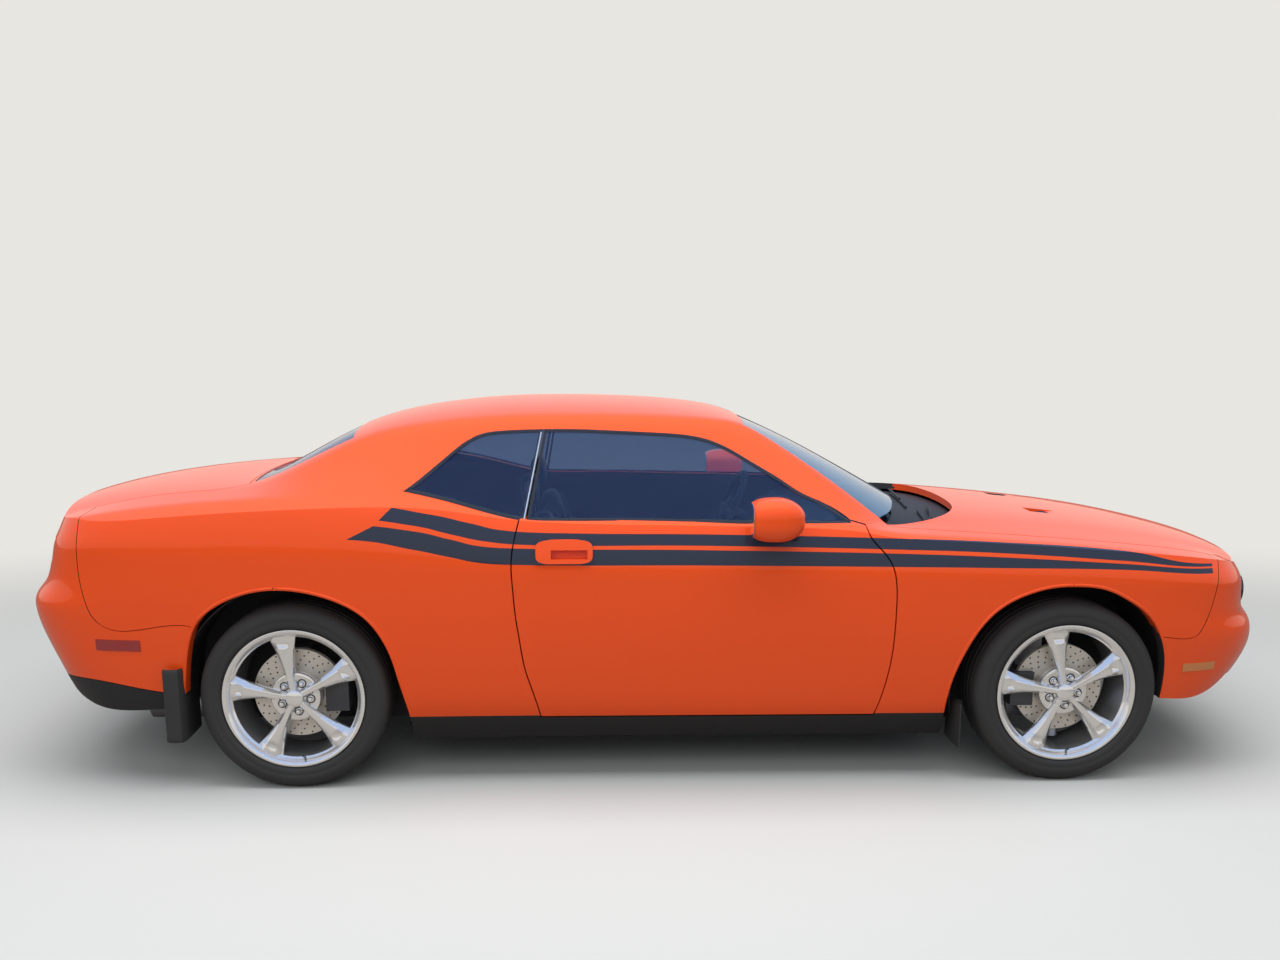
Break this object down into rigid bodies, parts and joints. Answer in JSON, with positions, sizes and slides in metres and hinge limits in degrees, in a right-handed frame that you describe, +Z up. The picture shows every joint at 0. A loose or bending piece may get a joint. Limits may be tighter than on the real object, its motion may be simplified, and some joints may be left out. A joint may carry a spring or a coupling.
{
  "type": "two-door muscle car",
  "caption": "Two-door muscle car with a long hood and a hardtop roof; wheels roll and steer, doors, hood and boot lid open.",
  "frame": {"origin": "on the ground below the middle of the car's length and width", "axes": "+X to the nose, +Y to the car's left side, +Z up"},
  "size_m": [5.0155, 2.2402, 1.45],
  "materials": {
    "body_paint": "gloss",
    "glass": "tinted",
    "black_plastic": "satin",
    "lamp_clear": "clear",
    "lamp_red": "gloss",
    "alloy": "polished",
    "tyre": "matte",
    "steel": "plain",
    "cast_iron": "plain",
    "seat_leather": "satin",
    "trim": "grained",
    "underbody": "satin",
    "marker_lens": "gloss"
  },
  "bodies": {
    "body": {"bulkheads": "underbody", "cowl": "black_plastic", "dashboard": "trim", "engine": "cast_iron", "exhaust": "steel", "floor_pan": "underbody", "front_bumper": "body_paint", "front_seats": "seat_leather", "front_suspension": "steel", "grille": "black_plastic", "headlamps": "lamp_clear", "left_front_fender": "body_paint", "left_quarter_panel": "body_paint", "mud_flaps": "black_plastic", "quarter_windows": "glass", "rear_bumper": "body_paint", "rear_knuckles": "cast_iron", "rear_seat": "seat_leather", "rear_suspension": "steel", "rear_valance": "black_plastic", "rear_window": "glass", "right_front_fender": "body_paint", "right_quarter_panel": "body_paint", "roof": "body_paint", "side_markers": "marker_lens", "sills": "black_plastic", "tail_lamps": "lamp_red", "tail_panel": "black_plastic", "wheel_well_liners": "black_plastic", "windshield": "glass"},
    "left_door": {"left_door": "body_paint", "left_door_glass": "glass", "left_mirror": "body_paint"},
    "right_door": {"right_door": "body_paint", "right_door_glass": "glass", "right_mirror": "body_paint"},
    "hood": {"hood": "body_paint"},
    "boot_lid": {"boot_lid": "body_paint"},
    "steering_wheel": {"steering_wheel": "trim"},
    "front_left_upright": {"front_left_knuckle": "cast_iron"},
    "front_right_upright": {"front_right_knuckle": "cast_iron"},
    "front_left_wheel": {"front_left_tyre": "tyre", "front_left_wheel": "alloy"},
    "front_right_wheel": {"front_right_tyre": "tyre", "front_right_wheel": "alloy"},
    "rear_left_wheel": {"rear_left_tyre": "tyre", "rear_left_wheel": "alloy"},
    "rear_right_wheel": {"rear_right_tyre": "tyre", "rear_right_wheel": "alloy"}
  },
  "joints": [
    {"name": "steer_left", "type": "hinge", "parent": "body", "child": "front_left_upright", "pos_m": [1.557, 0.7755, 0.356], "axis": [0, 0, 1], "range_deg": [-33, 33]},
    {"name": "steer_right", "type": "hinge", "parent": "body", "child": "front_right_upright", "pos_m": [1.557, -0.7755, 0.356], "axis": [0, 0, 1], "range_deg": [-33, 33]},
    {"name": "steering_wheel_turn", "type": "hinge", "parent": "body", "child": "steering_wheel", "pos_m": [0.37163, 0.38, 0.899], "axis": [-0.9063, 0, 0.4226], "range_deg": [-500, 500]},
    {"name": "front_left_wheel_spin", "type": "hinge", "parent": "front_left_upright", "child": "front_left_wheel", "pos_m": [1.557, 0.8015, 0.356], "axis": [0, 1, 0], "continuous": true},
    {"name": "front_right_wheel_spin", "type": "hinge", "parent": "front_right_upright", "child": "front_right_wheel", "pos_m": [1.557, -0.8015, 0.356], "axis": [0, 1, 0], "continuous": true},
    {"name": "rear_left_wheel_spin", "type": "hinge", "parent": "body", "child": "rear_left_wheel", "pos_m": [-1.389, 0.8015, 0.356], "axis": [0, 1, 0], "continuous": true},
    {"name": "rear_right_wheel_spin", "type": "hinge", "parent": "body", "child": "rear_right_wheel", "pos_m": [-1.389, -0.8015, 0.356], "axis": [0, 1, 0], "continuous": true},
    {"name": "left_door_hinge", "type": "hinge", "parent": "body", "child": "left_door", "pos_m": [0.879, 0.95, 0.65], "axis": [0, 0, -1], "range_deg": [0, 65]},
    {"name": "right_door_hinge", "type": "hinge", "parent": "body", "child": "right_door", "pos_m": [0.879, -0.95, 0.65], "axis": [0, 0, 1], "range_deg": [0, 65]},
    {"name": "hood_hinge", "type": "hinge", "parent": "body", "child": "hood", "pos_m": [0.868, 0, 0.99], "axis": [0, -1, 0], "range_deg": [0, 50]},
    {"name": "boot_lid_hinge", "type": "hinge", "parent": "body", "child": "boot_lid", "pos_m": [-1.586, 0, 1.152], "axis": [0, 1, 0], "range_deg": [0, 70]}
  ],
  "couplings": [
    {"joint": "steer_right", "follows": "steer_left", "ratio": 1},
    {"joint": "steering_wheel_turn", "follows": "steer_left", "ratio": 15}
  ]
}
